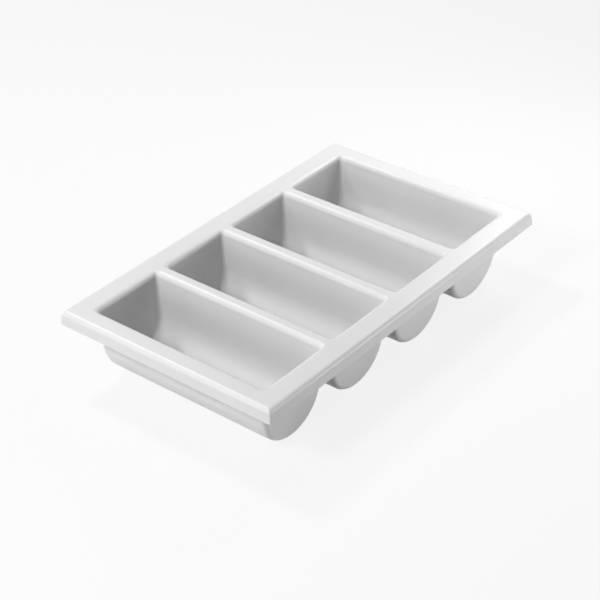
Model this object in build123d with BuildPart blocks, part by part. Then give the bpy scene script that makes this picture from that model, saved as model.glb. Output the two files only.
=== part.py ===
from build123d import *
from math import cos, radians, sin, sqrt
import os

# Four-compartment cutlery tray for a catering counter, moulded in one wall of plastic.
# X runs across the four compartments, Y along them and Z up. The origin is in the
# middle of the footprint, at the level of the table that the round bottoms stand on.
# Lengths are in millimetres and angles in degrees.

# The whole tray
tray_length = 530
tray_width = 325
tray_height = 100
wall = 2.5

# The rim that the tray hangs by: a flat deck with a skirt turned down from its edge
end_rim_width = 30
side_rim_width = 34
skirt_height = 17.5
skirt_flare = 4.5
rim_edge_radius = 6.5
rim_corner_radius = 2.5

# The mouths of the compartments: the deck rolls over a lip into a short straight collar
compartment_count = 4
divider_width = 20
mouth_lip_radius = 7
collar_land = 3

# The compartments below the collars: drafted walls, a half-round bottom and two D-shaped ends.
# The radius round each end is turned in flat steps.
side_draft = 4.4
end_draft = 3.3
inside_edge_radius = 4
round_steps = 3

# Sizes that follow from those above
half_turn = 180
quarter_turn = 90
skirt_foot = tray_height - skirt_height
skirt_top = tray_height - rim_edge_radius
skirt_wall_across = wall / cos(radians(skirt_flare))
collar_height = mouth_lip_radius + collar_land
collar_foot = tray_height - collar_height
dividers_across = (compartment_count - 1) * divider_width
compartment_width = (tray_length - 2 * end_rim_width - dividers_across) / compartment_count
compartment_length = tray_width - 2 * side_rim_width
compartment_pitch = compartment_width + divider_width
divider_top_length = compartment_length - 2 * (inside_edge_radius + mouth_lip_radius)

# A chamfer behind each lip, as deep as keeps the wall there as thick as elsewhere
lip_backing = (mouth_lip_radius - wall) * (2 - sqrt(2))

# The outline across a compartment is drawn in planes that lean by the end draft. In them the side
# walls lean in by their own draft and run tangent into the arc of the bottom.
side_angle = radians(side_draft)
end_angle = radians(end_draft)
trough_depth = collar_foot / cos(end_angle) - wall
reach_to_wall = compartment_width / 2 * cos(side_angle) - trough_depth * sin(side_angle)
bottom_radius = reach_to_wall / (1 - sin(side_angle))
arc_depth = trough_depth - bottom_radius

first_compartment_x = -(compartment_count - 1) * compartment_pitch / 2
compartment_places = [
    (first_compartment_x + index * compartment_pitch, 0) for index in range(compartment_count)
]
divider_places = [(x + compartment_pitch / 2, 0) for x, _ in compartment_places[:-1]]

os.makedirs("parts", exist_ok=True)


def rim_form(length, width, height, edge_radius):
    """A block that narrows upward from the foot of the skirt, with its top edge rounded."""
    with BuildPart() as form:
        with BuildSketch(Plane.XY.offset(skirt_foot)):
            Rectangle(length, width)
        extrude(amount=height, taper=skirt_flare)
        fillet(form.edges().group_by(Axis.Z)[-1], edge_radius)
    return form.part


def mouth_outlines(growth):
    """The mouths in outline at the foot of the collars: the openings, or with growth the walls round them."""
    with BuildSketch(Plane.XY.offset(collar_foot)) as outlines:
        with Locations(*compartment_places):
            width = compartment_width + 2 * growth
            length = compartment_length + 2 * growth
            RectangleRounded(width, length, inside_edge_radius + growth)
    return outlines.sketch


def trough_outline(growth):
    """The outline across a compartment, hung from the foot of its collar."""
    half_width = compartment_width / 2 + growth / cos(side_angle)
    with BuildSketch() as outline:
        with BuildLine():
            bottom_sweep = half_turn - 2 * side_draft
            bottom = CenterArc((0, -arc_depth), bottom_radius + growth, half_turn + side_draft, bottom_sweep)
            right_side = Line(bottom @ 1, (half_width, 0))
            top = Line(right_side @ 1, (-half_width, 0))
            Line(top @ 1, bottom @ 0)
        make_face()
    return outline.sketch


def trough_form(growth):
    """One compartment as a solid on the origin: its hollow with no growth, its outside with the wall."""
    edge_radius = inside_edge_radius + growth
    half_length = compartment_length / 2 + growth / cos(end_angle)
    turns = [radians(quarter_turn * step / round_steps) for step in range(round_steps + 1)]
    with BuildPart() as form:
        for end, end_turns in ((-1, turns), (1, turns[::-1])):
            for turn in end_turns:
                # The outline grows from the flat of the end to the full trough as the radius turns
                inset = edge_radius * (1 - sin(turn))
                way_in = edge_radius * (1 - cos(turn)) / cos(end_angle)
                top_middle = (0, end * (half_length - way_in), collar_foot)
                inward = (0, -cos(end_angle), end * sin(end_angle))
                with BuildSketch(Plane(top_middle, x_dir=(1, 0, 0), z_dir=inward)):
                    add(trough_outline(growth - inset))
        loft(ruled=True)
    return form.part


# Deck and skirt together, before the mouths are cut
with BuildPart() as rim_shell:
    add(rim_form(tray_length, tray_width, skirt_height, rim_edge_radius))
    edges_along_sides = rim_shell.edges().filter_by(Axis.X) + rim_shell.edges().filter_by(Axis.Y)
    fillet(rim_shell.edges() - edges_along_sides, rim_corner_radius)
    inner_length = tray_length - 2 * skirt_wall_across
    inner_width = tray_width - 2 * skirt_wall_across
    inner_form = rim_form(inner_length, inner_width, skirt_height - wall, rim_edge_radius - wall)
    add(inner_form, mode=Mode.SUBTRACT)

# Skirt: the flared band that hangs from the outer edge of the rim
with BuildPart() as rim_skirt:
    add(rim_shell.part)
    split(bisect_by=Plane.XY.offset(skirt_top), keep=Keep.BOTTOM)
rim_skirt.part.label = "rim_skirt"
export_step(rim_skirt.part, "parts/rim_skirt.step")

# Everything at rim level: the deck, the lips that roll into the mouths, their collars and
# the strips between neighbouring mouths, all in the same wall
with BuildPart() as rim_level:
    add(rim_shell.part)
    split(bisect_by=Plane.XY.offset(skirt_top), keep=Keep.TOP)
    extrude(mouth_outlines(wall), amount=collar_height)
    underside = rim_level.faces().filter_by(Axis.Z).sort_by(Axis.Z)[-2]
    chamfer([edge for wire in underside.inner_wires() for edge in wire.edges()], lip_backing)
    extrude(mouth_outlines(0), amount=collar_height, mode=Mode.SUBTRACT)
    deck = rim_level.faces().sort_by(Axis.Z)[-1]
    fillet([edge for wire in deck.inner_wires() for edge in wire.edges()], mouth_lip_radius)

# Divider tops: the rounded strips over the walls of two neighbouring compartments
for number, place in enumerate(divider_places, start=1):
    with BuildPart() as divider_top:
        add(rim_level.part)
        with Locations((*place, tray_height)):
            Box(compartment_pitch, divider_top_length, tray_height, mode=Mode.INTERSECT)
    divider_top.part.label = f"divider_top_{number}"
    export_step(divider_top.part, f"parts/divider_top_{number}.step")

# Rim frame: the rest of the rim level, all round the four mouths
with BuildPart() as rim_frame:
    add(rim_level.part)
    with Locations(*[(*place, tray_height) for place in divider_places]):
        Box(compartment_pitch, divider_top_length, tray_height, mode=Mode.SUBTRACT)
rim_frame.part.label = "rim_frame"
export_step(rim_frame.part, "parts/rim_frame.step")

# Compartments: thin troughs open at the top, which hang from the collars and stand on their bottoms
outside_form = trough_form(wall)
hollow_form = trough_form(0)
for number, place in enumerate(compartment_places, start=1):
    with BuildPart() as compartment:
        with Locations(place):
            add(outside_form)
            add(hollow_form, mode=Mode.SUBTRACT)
    compartment.part.label = f"compartment_{number}"
    export_step(compartment.part, f"parts/compartment_{number}.step")
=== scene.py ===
from math import cos, radians, sin, tan

import bmesh
import bpy
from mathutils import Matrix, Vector


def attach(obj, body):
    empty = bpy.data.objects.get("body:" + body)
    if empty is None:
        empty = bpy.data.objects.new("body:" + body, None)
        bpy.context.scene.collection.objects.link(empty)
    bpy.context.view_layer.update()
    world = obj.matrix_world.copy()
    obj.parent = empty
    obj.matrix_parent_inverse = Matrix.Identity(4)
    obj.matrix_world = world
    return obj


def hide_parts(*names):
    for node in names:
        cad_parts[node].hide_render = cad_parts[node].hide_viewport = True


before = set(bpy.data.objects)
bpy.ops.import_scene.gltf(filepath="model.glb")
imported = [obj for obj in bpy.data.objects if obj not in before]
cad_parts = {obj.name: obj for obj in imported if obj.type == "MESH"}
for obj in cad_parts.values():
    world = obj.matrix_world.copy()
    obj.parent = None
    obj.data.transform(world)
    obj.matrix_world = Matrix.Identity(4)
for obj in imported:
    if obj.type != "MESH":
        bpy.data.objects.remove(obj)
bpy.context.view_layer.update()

# Four-compartment cutlery tray for a catering counter, moulded in one wall of plastic.
# X runs across the four compartments, Y along them and Z up, in metres, as in the CAD part.
# The upper side of the moulding is modelled as one thin sheet. It is then parted into the
# regions that the CAD part names, and each region gets the thickness of the wall.

MM = 0.001

# Sizes of the real tray, as in the CAD part
TRAY_LENGTH = 530 * MM
TRAY_WIDTH = 325 * MM
TRAY_HEIGHT = 100 * MM
WALL = 2.5 * MM
END_RIM_WIDTH = 30 * MM
SIDE_RIM_WIDTH = 34 * MM
SKIRT_HEIGHT = 17.5 * MM
SKIRT_FLARE = radians(4.5)
RIM_EDGE_RADIUS = 6.5 * MM
RIM_CORNER_RADIUS = 2.5 * MM
COMPARTMENT_COUNT = 4
DIVIDER_WIDTH = 20 * MM
MOUTH_LIP_RADIUS = 7 * MM
COLLAR_LAND = 3 * MM
SIDE_DRAFT = radians(4.4)
END_DRAFT = radians(3.3)
INSIDE_EDGE_RADIUS = 4 * MM

# Places where the sheet is parted, on stretches that are straight or flat on both sides
SKIRT_SEAM = 92 * MM
COLLAR_SEAM = 91.5 * MM
DIVIDER_SEAM = 117.5 * MM

# The foot of the skirt has its edges just broken, as a moulding has where the tool closes
FOOT_EDGE_RADIUS = 0.4 * MM

# How finely the round parts are divided
BOTTOM_SIDES = 128
EDGE_SEGMENTS = 8
LIP_SEGMENTS = 8
RIM_EDGE_SEGMENTS = 10
RIM_CORNER_SEGMENTS = 4
FOOT_EDGE_SEGMENTS = 2
QUARTER_TURN = radians(90)
SMOOTH_BELOW = radians(40)
NEAR = 0.02 * MM
MERGE_WITHIN = 0.2 * MM

# Sizes that follow from those above
SKIRT_FOOT = TRAY_HEIGHT - SKIRT_HEIGHT
COLLAR_FOOT = TRAY_HEIGHT - MOUTH_LIP_RADIUS - COLLAR_LAND
LIP_START = TRAY_HEIGHT - MOUTH_LIP_RADIUS
DIVIDERS_ACROSS = (COMPARTMENT_COUNT - 1) * DIVIDER_WIDTH
COMPARTMENT_WIDTH = (TRAY_LENGTH - 2 * END_RIM_WIDTH - DIVIDERS_ACROSS) / COMPARTMENT_COUNT
COMPARTMENT_LENGTH = TRAY_WIDTH - 2 * SIDE_RIM_WIDTH
PITCH = COMPARTMENT_WIDTH + DIVIDER_WIDTH
FIRST_X = -(COMPARTMENT_COUNT - 1) * PITCH / 2
REACH_TO_WALL = COMPARTMENT_WIDTH / 2 * cos(SIDE_DRAFT) - (COLLAR_FOOT - WALL) * sin(SIDE_DRAFT)
BOTTOM_RADIUS = REACH_TO_WALL / (1 - sin(SIDE_DRAFT))
BOTTOM_CENTRE = WALL + BOTTOM_RADIUS
WALLS_START = BOTTOM_CENTRE - BOTTOM_RADIUS * sin(SIDE_DRAFT)
CORNER_X = COMPARTMENT_WIDTH / 2 - INSIDE_EDGE_RADIUS
CORNER_Y = COMPARTMENT_LENGTH / 2 - INSIDE_EDGE_RADIUS

# Half way across the deck, outside the mouths and inside the skirt
DECK_MIDDLE_X = (TRAY_LENGTH - END_RIM_WIDTH) / 2
DECK_MIDDLE_Y = (TRAY_WIDTH - SIDE_RIM_WIDTH) / 2

# The room, in metres. A share of the floor that the camera sees is plain white and the rest is lit board,
# and the room itself gives the tray a little light.
TRAY_MIDDLE = (0, 0, TRAY_HEIGHT / 2)
FLOOR_SIZE = 12
FLOOR_WHITE_SHARE = 0.85
ROOM_LIGHT = 0.03

# The camera, at the viewing angle of the photograph
CAMERA_PLACE = (-1.35219, -1.10931, 1.20263)
CAMERA_TURN = (radians(56.3945), radians(1.2407), radians(-51.1814))
SENSOR_WIDTH = 36
LENS = 100.58


def start(add, size, place, **turn):
    """Adds a primitive of this size in this place and opens it in edit mode with nothing selected."""
    bpy.ops.object.select_all(action="DESELECT")
    add(location=place, **turn)
    piece = bpy.context.object
    piece.scale = size
    bpy.ops.object.transform_apply(location=True, rotation=True, scale=True)
    bpy.ops.object.mode_set(mode="EDIT")
    bpy.ops.mesh.select_all(action="DESELECT")
    return piece


def pick(kind, corner_test, middle_test=lambda middle: True):
    """Selects, in edit mode, the edges or faces whose corners, and whose middle, pass the tests."""
    bpy.ops.mesh.select_mode(type=kind)
    bpy.ops.mesh.select_all(action="DESELECT")
    shape = bmesh.from_edit_mesh(bpy.context.edit_object.data)
    for item in shape.edges if kind == "EDGE" else shape.faces:
        corners = [vertex.co for vertex in item.verts]
        if all(map(corner_test, corners)) and middle_test(sum(corners, Vector()) / len(corners)):
            item.select_set(True)
    shape.select_flush_mode()
    bmesh.update_edit_mesh(bpy.context.edit_object.data)


def at(value, level):
    return abs(value - level) < NEAR


def close_edit():
    bpy.ops.object.mode_set(mode="OBJECT")


def select_only(*pieces):
    bpy.ops.object.select_all(action="DESELECT")
    for piece in pieces:
        piece.select_set(True)
    bpy.context.view_layer.objects.active = pieces[0]


def join(*pieces):
    select_only(*pieces)
    bpy.ops.object.join()
    return pieces[0]


def end_wall_y(z):
    """How far the leaning end wall is from the middle of a compartment at height z."""
    return COMPARTMENT_LENGTH / 2 - (COLLAR_FOOT - z) * tan(END_DRAFT)


def trough():
    """The inside of one compartment below its collar: half-round bottom, drafted walls, D-shaped ends."""
    piece = start(
        lambda **place: bpy.ops.mesh.primitive_cylinder_add(
            vertices=BOTTOM_SIDES, radius=BOTTOM_RADIUS, depth=TRAY_WIDTH, end_fill_type="NOTHING", **place
        ),
        (1, 1, 1),
        (0, 0, BOTTOM_CENTRE),
        rotation=(QUARTER_TURN, 0, 0),
    )
    # The round is cut off where the side walls leave it, and they are drawn up from there
    bpy.ops.mesh.select_all(action="SELECT")
    bpy.ops.mesh.bisect(plane_co=(0, 0, WALLS_START), plane_no=(0, 0, 1), clear_outer=True)
    pick("EDGE", lambda corner: at(corner.z, WALLS_START))
    bpy.ops.mesh.extrude_edges_move(TRANSFORM_OT_translate={"value": (0, 0, COLLAR_FOOT - WALLS_START)})
    spread = COMPARTMENT_WIDTH / 2 / (BOTTOM_RADIUS * cos(SIDE_DRAFT))
    bpy.ops.transform.resize(value=(spread, 1, 1), center_override=(0, 0, 0))
    # A lid closes the top while the ends are cut, filled and rounded
    bpy.ops.mesh.edge_face_add()
    for end in (-1, 1):
        bpy.ops.mesh.select_all(action="SELECT")
        bpy.ops.mesh.bisect(
            plane_co=(0, end * COMPARTMENT_LENGTH / 2, COLLAR_FOOT),
            plane_no=(0, end * cos(END_DRAFT), -sin(END_DRAFT)),
            use_fill=True,
            clear_outer=True,
        )
    for end in (-1, 1):
        pick(
            "EDGE",
            lambda corner: at(end * corner.y, end_wall_y(corner.z)),
            lambda middle: middle.z < COLLAR_FOOT - NEAR,
        )
        bpy.ops.mesh.bevel(
            offset_type="OFFSET", offset=INSIDE_EDGE_RADIUS, segments=EDGE_SEGMENTS, affect="EDGES"
        )
    pick("FACE", lambda corner: at(corner.z, COLLAR_FOOT))
    bpy.ops.mesh.delete(type="FACE")
    close_edit()
    return piece


def mouth_lip():
    """The lip of one mouth: it rolls from the deck down into a short straight collar."""
    piece = start(
        bpy.ops.mesh.primitive_plane_add,
        ((LIP_START - COLLAR_SEAM) / 2, CORNER_Y, 1),
        (-COMPARTMENT_WIDTH / 2, 0, (LIP_START + COLLAR_SEAM) / 2),
        rotation=(0, QUARTER_TURN, 0),
    )
    pick("EDGE", lambda corner: at(corner.z, LIP_START))
    roll_centre = (-COMPARTMENT_WIDTH / 2 - MOUTH_LIP_RADIUS, 0, LIP_START)
    bpy.ops.mesh.spin(steps=LIP_SEGMENTS, angle=QUARTER_TURN, center=roll_centre, axis=(0, 1, 0))
    # The end of this profile is turned round each corner and drawn along each side in turn
    pick("EDGE", lambda corner: at(corner.y, CORNER_Y))
    for x_side, y_side, run in (
        (-1, 1, (2 * CORNER_X, 0, 0)),
        (1, 1, (0, -2 * CORNER_Y, 0)),
        (1, -1, (-2 * CORNER_X, 0, 0)),
        (-1, -1, None),
    ):
        corner_centre = (x_side * CORNER_X, y_side * CORNER_Y, 0)
        bpy.ops.mesh.spin(steps=EDGE_SEGMENTS, angle=QUARTER_TURN, center=corner_centre, axis=(0, 0, 1))
        if run:
            bpy.ops.mesh.extrude_edges_move(TRANSFORM_OT_translate={"value": run})
    bpy.ops.mesh.select_all(action="SELECT")
    bpy.ops.mesh.remove_doubles(threshold=NEAR)
    close_edit()
    return piece


def rim_shell():
    """The rim before the mouths are let in: a low box with a flared skirt, open at its top and foot."""
    piece = start(
        bpy.ops.mesh.primitive_cube_add,
        (TRAY_LENGTH / 2, TRAY_WIDTH / 2, SKIRT_HEIGHT / 2),
        (0, 0, (TRAY_HEIGHT + SKIRT_FOOT) / 2),
    )
    pick("FACE", lambda corner: at(corner.z, TRAY_HEIGHT))
    lean = 2 * SKIRT_HEIGHT * tan(SKIRT_FLARE)
    narrowing = (1 - lean / TRAY_LENGTH, 1 - lean / TRAY_WIDTH, 1)
    bpy.ops.transform.resize(value=narrowing, center_override=(0, 0, 0))
    pick("EDGE", lambda corner: at(corner.z, TRAY_HEIGHT))
    reach = RIM_EDGE_RADIUS * tan((QUARTER_TURN - SKIRT_FLARE) / 2)
    bpy.ops.mesh.bevel(offset_type="OFFSET", offset=reach, segments=RIM_EDGE_SEGMENTS, affect="EDGES")
    # Of all the edges, only those at the four corners have their middles far out both ways
    pick(
        "EDGE",
        lambda corner: True,
        lambda middle: abs(middle.x) > COMPARTMENT_WIDTH and abs(middle.y) > COMPARTMENT_WIDTH,
    )
    bpy.ops.mesh.bevel(
        offset_type="OFFSET", offset=RIM_CORNER_RADIUS, segments=RIM_CORNER_SEGMENTS, affect="EDGES"
    )
    for level in (TRAY_HEIGHT, SKIRT_FOOT):
        pick("FACE", lambda corner: at(corner.z, level))
        bpy.ops.mesh.delete(type="ONLY_FACE")
    bpy.ops.mesh.select_all(action="SELECT")
    bpy.ops.mesh.bisect(plane_co=(0, 0, SKIRT_SEAM), plane_no=(0, 0, 1))
    close_edit()
    return piece


def moulded_sheet():
    """The whole upper side of the tray as one sheet."""
    compartment = join(mouth_lip(), trough())
    bpy.ops.object.mode_set(mode="EDIT")
    pick("EDGE", lambda corner: at(corner.z, COLLAR_SEAM) or at(corner.z, COLLAR_FOOT))
    bpy.ops.mesh.bridge_edge_loops()
    close_edit()
    row = [compartment]
    for _ in range(COMPARTMENT_COUNT - 1):
        select_only(row[-1])
        bpy.ops.object.duplicate()
        bpy.ops.transform.translate(value=(PITCH, 0, 0))
        bpy.ops.object.transform_apply(location=True, rotation=False, scale=False)
        row.append(bpy.context.object)
    sheet = join(*row)
    bpy.ops.transform.translate(value=(FIRST_X, 0, 0))
    bpy.ops.object.transform_apply(location=True, rotation=False, scale=False)
    sheet = join(sheet, rim_shell())
    bpy.ops.object.mode_set(mode="EDIT")
    # The flat deck fills what the four lips and the rounded edge of the rim leave open
    pick("EDGE", lambda corner: at(corner.z, TRAY_HEIGHT))
    bpy.ops.mesh.fill()
    bpy.ops.mesh.select_all(action="SELECT")
    bpy.ops.mesh.remove_doubles(threshold=NEAR)
    bpy.ops.mesh.normals_make_consistent(inside=False)
    shape = bmesh.from_edit_mesh(sheet.data)
    deck = [face for face in shape.faces if all(at(corner.co.z, TRAY_HEIGHT) for corner in face.verts)]
    if deck[0].normal.z < 0:
        bpy.ops.mesh.flip_normals()
    # The strips over the dividers end at a seam across the deck and the lips
    for side in (-1, 1):
        pick(
            "FACE",
            lambda corner: corner.z > COLLAR_SEAM - NEAR
            and abs(corner.x) < TRAY_LENGTH / 2 - RIM_EDGE_RADIUS,
        )
        bpy.ops.mesh.bisect(plane_co=(0, side * DIVIDER_SEAM, 0), plane_no=(0, 1, 0))
    close_edit()
    return sheet


def part_off(sheet, name, wanted):
    """Parts the faces that pass the test off the sheet as a piece of their own."""
    select_only(sheet)
    bpy.ops.object.mode_set(mode="EDIT")
    pick("FACE", wanted)
    bpy.ops.mesh.separate(type="SELECTED")
    close_edit()
    piece = next(other for other in bpy.context.selected_objects if other is not sheet)
    piece.name = name
    return piece


def thicken(piece):
    """Gives a region of the sheet its wall, which lies behind the visible side."""
    select_only(piece)
    wall = piece.modifiers.new("wall", "SOLIDIFY")
    wall.thickness = WALL
    wall.offset = -1
    wall.use_even_offset = True
    wall.use_quality_normals = True
    bpy.ops.object.modifier_apply(modifier=wall.name)
    # Behind the rim's corners, which have the radius of the wall, the points fall together and are merged
    bpy.ops.object.mode_set(mode="EDIT")
    bpy.ops.mesh.select_all(action="SELECT")
    bpy.ops.mesh.remove_doubles(threshold=MERGE_WITHIN)
    close_edit()


def smooth(piece):
    select_only(piece)
    bpy.ops.object.shade_smooth_by_angle(angle=SMOOTH_BELOW)
    evened = piece.modifiers.new("evened normals", "WEIGHTED_NORMAL")
    evened.keep_sharp = True
    bpy.ops.object.modifier_apply(modifier=evened.name)


def break_foot_edges(piece):
    """Rounds the two edges of the foot of the skirt a little."""
    select_only(piece)
    bpy.ops.object.mode_set(mode="EDIT")
    pick("FACE", lambda corner: at(corner.z, SKIRT_FOOT))
    bpy.ops.mesh.region_to_loop()
    bpy.ops.mesh.bevel(
        offset_type="OFFSET", offset=FOOT_EDGE_RADIUS, segments=FOOT_EDGE_SEGMENTS, affect="EDGES"
    )
    close_edit()


def linear(hex_colour):
    """An sRGB hex colour as linear red, green, blue and alpha, by the two parts of the sRGB curve."""
    channels = [int(hex_colour[place : place + 2], 16) / 255 for place in (1, 3, 5)]
    return [c / 12.92 if c <= 0.04045 else ((c + 0.055) / 1.055) ** 2.4 for c in channels] + [1]


def node(tree, kind, settings=None, **inputs):
    """Adds a node, sets its own settings and the sockets named, and links those given as sockets."""
    added = tree.nodes.new(kind)
    for name, value in (settings or {}).items():
        setattr(added, name, value)
    for name, value in inputs.items():
        socket = added.inputs[int(name[1:])] if name[0] == "_" else added.inputs[name.replace("_", " ")]
        if isinstance(value, bpy.types.NodeSocket):
            tree.links.new(value, socket)
        else:
            socket.default_value = value
    return added


def moulded_grey_abs():
    """ABS, injection-moulded in a tool with a fine satin finish.

    It is an opaque light grey with a soft, wide shine. The skin follows slight waves of the tool and of
    the shrinking plastic, so that reflections run a little uneven, and it carries a fine grain."""
    material = bpy.data.materials.new("moulded_grey_abs")
    material.use_nodes = True
    tree = material.node_tree
    tree.nodes.clear()
    place = node(tree, "ShaderNodeTexCoord").outputs["Object"]
    # Faint clouds in the grey where the melt flowed, about 60 mm across
    clouds = node(tree, "ShaderNodeTexNoise", Vector=place, Scale=1 / (60 * MM), Detail=2.0, Roughness=0.5)
    grey = node(
        tree,
        "ShaderNodeMix",
        {"data_type": "RGBA"},
        _0=clouds.outputs["Fac"],
        _6=linear("#CECECE"),
        _7=linear("#D4D4D4"),
    )
    # The shine varies a little from place to place, about 25 mm apart
    patches = node(tree, "ShaderNodeTexNoise", Vector=place, Scale=1 / (25 * MM), Detail=3.0, Roughness=0.6)
    gloss = node(
        tree,
        "ShaderNodeMapRange",
        Value=patches.outputs["Fac"],
        From_Min=0.3,
        From_Max=0.7,
        To_Min=0.42,
        To_Max=0.45,
    )
    # Long waves of the skin, 30 mm apart and a few hundredths of a millimetre deep
    waves = node(tree, "ShaderNodeTexNoise", Vector=place, Scale=1 / (30 * MM), Detail=0.0)
    waved = node(tree, "ShaderNodeBump", Strength=1.0, Distance=0.05 * MM, Height=waves.outputs["Fac"])
    # The grain of the tool is too fine to show here, so it is drawn 4 mm apart
    grain = node(tree, "ShaderNodeTexNoise", Vector=place, Scale=1 / (4 * MM), Detail=0.0)
    grained = node(
        tree,
        "ShaderNodeBump",
        Strength=1.0,
        Distance=0.004 * MM,
        Height=grain.outputs["Fac"],
        Normal=waved.outputs["Normal"],
    )
    plastic = node(
        tree,
        "ShaderNodeBsdfPrincipled",
        Base_Color=grey.outputs[2],
        Roughness=gloss.outputs["Result"],
        IOR=1.54,
        Normal=grained.outputs["Normal"],
    )
    node(tree, "ShaderNodeOutputMaterial", Surface=plastic.outputs["BSDF"])
    return material


def seen_directly(tree):
    """One for what the camera, a reflection or a clear piece looks at, nought for light on the tray."""
    path = node(tree, "ShaderNodeLightPath").outputs
    either = {"operation": "MAXIMUM"}
    looked_at = node(tree, "ShaderNodeMath", either, _0=path["Is Camera Ray"], _1=path["Is Glossy Ray"])
    seen = node(tree, "ShaderNodeMath", either, _0=looked_at.outputs[0], _1=path["Is Transmission Ray"])
    return seen.outputs[0]


def pale_floor():
    """Matt white board. What the camera and the gloss see of it is nearly white and keeps the shadow."""
    material = bpy.data.materials.new("matt_white_board")
    material.use_nodes = True
    tree = material.node_tree
    tree.nodes.clear()
    board = node(tree, "ShaderNodeBsdfDiffuse", Color=linear("#D8D8D8"))
    glow = node(tree, "ShaderNodeEmission", Color=linear("#FFFFFF"), Strength=1.0)
    seen = node(
        tree,
        "ShaderNodeMixShader",
        _0=FLOOR_WHITE_SHARE,
        _1=board.outputs["BSDF"],
        _2=glow.outputs["Emission"],
    )
    surface = node(
        tree, "ShaderNodeMixShader", _0=seen_directly(tree), _1=board.outputs["BSDF"], _2=seen.outputs["Shader"]
    )
    node(tree, "ShaderNodeOutputMaterial", Surface=surface.outputs["Shader"])
    return material


def lamp(name, place, size, power):
    """A round lamp that looks at the middle of the tray: its width in metres and its power in watts."""
    bpy.ops.object.light_add(type="AREA", location=place)
    light = bpy.context.object
    light.name = name
    light.data.shape = "DISK"
    light.data.size = size
    light.data.energy = power
    light.rotation_euler = (Vector(TRAY_MIDDLE) - Vector(place)).to_track_quat("-Z", "Y").to_euler()


# The tray
sheet = moulded_sheet()
pieces = {}
for number in range(1, COMPARTMENT_COUNT + 1):
    middle = FIRST_X + (number - 1) * PITCH
    name = f"compartment_{number}"
    pieces[name] = part_off(
        sheet,
        f"{name}_trough",
        lambda corner: corner.z < COLLAR_SEAM + NEAR
        and abs(corner.x - middle) < PITCH / 2
        and abs(corner.y) < COMPARTMENT_LENGTH / 2 + NEAR,
    )
for number in range(1, COMPARTMENT_COUNT):
    middle = FIRST_X + (number - 1 / 2) * PITCH
    name = f"divider_top_{number}"
    pieces[name] = part_off(
        sheet,
        f"{name}_ridge",
        lambda corner: abs(corner.x - middle) < DIVIDER_WIDTH / 2 + NEAR
        and abs(corner.y) < DIVIDER_SEAM + NEAR,
    )
pieces["rim_skirt"] = part_off(
    sheet,
    "rim_skirt_band",
    lambda corner: corner.z < SKIRT_SEAM + NEAR
    and (abs(corner.x) > DECK_MIDDLE_X or abs(corner.y) > DECK_MIDDLE_Y),
)
sheet.name = "rim_frame_deck"
pieces["rim_frame"] = sheet

plastic = moulded_grey_abs()
for name, piece in pieces.items():
    thicken(piece)
    if name == "rim_skirt":
        break_foot_edges(piece)
    smooth(piece)
    piece.data.materials.clear()
    piece.data.materials.append(plastic)
    piece.data.name = piece.name
    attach(piece, "root")
    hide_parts(name)

# The floor, under the round bottoms
bpy.ops.object.select_all(action="DESELECT")
bpy.ops.mesh.primitive_plane_add(size=FLOOR_SIZE)
floor = bpy.context.object
floor.name = "floor"
floor.data.materials.append(pale_floor())

# Light: a small lamp over the far long side draws the rim's shadow into the compartments. Softer ones
# fill in: two from the near short side, one over the far end and one low in front of the far end.
lamp("key_lamp", (0.06, 1.17, 1.66), size=0.3, power=20)
lamp("near_side_lamp", (-1.49, 0.25, 1.39), size=0.4, power=23)
lamp("low_near_side_lamp", (-1.96, 0.25, 0.47), size=0.6, power=9)
lamp("far_end_lamp", (0.6, 0.0, 0.5), size=0.3, power=2.4)
lamp("low_front_lamp", (0.65, -1.1, 0.09), size=0.4, power=9.5)

# A room that the camera sees as white and that hardly lights the tray
world = bpy.data.worlds.new("white_room")
bpy.context.scene.world = world
world.use_nodes = True
tree = world.node_tree
tree.nodes.clear()
walls = node(tree, "ShaderNodeBackground", Color=linear("#FFFFFF"), Strength=ROOM_LIGHT)
backdrop = node(tree, "ShaderNodeBackground", Color=linear("#FFFFFF"), Strength=1.0)
room = node(tree, "ShaderNodeMixShader", _0=seen_directly(tree), _1=walls.outputs[0], _2=backdrop.outputs[0])
node(tree, "ShaderNodeOutputWorld", Surface=room.outputs[0])

bpy.ops.object.camera_add(location=CAMERA_PLACE, rotation=CAMERA_TURN)
camera = bpy.context.object
camera.data.sensor_width = SENSOR_WIDTH
camera.data.lens = LENS
bpy.context.scene.camera = camera
bpy.context.scene.view_settings.view_transform = "Standard"
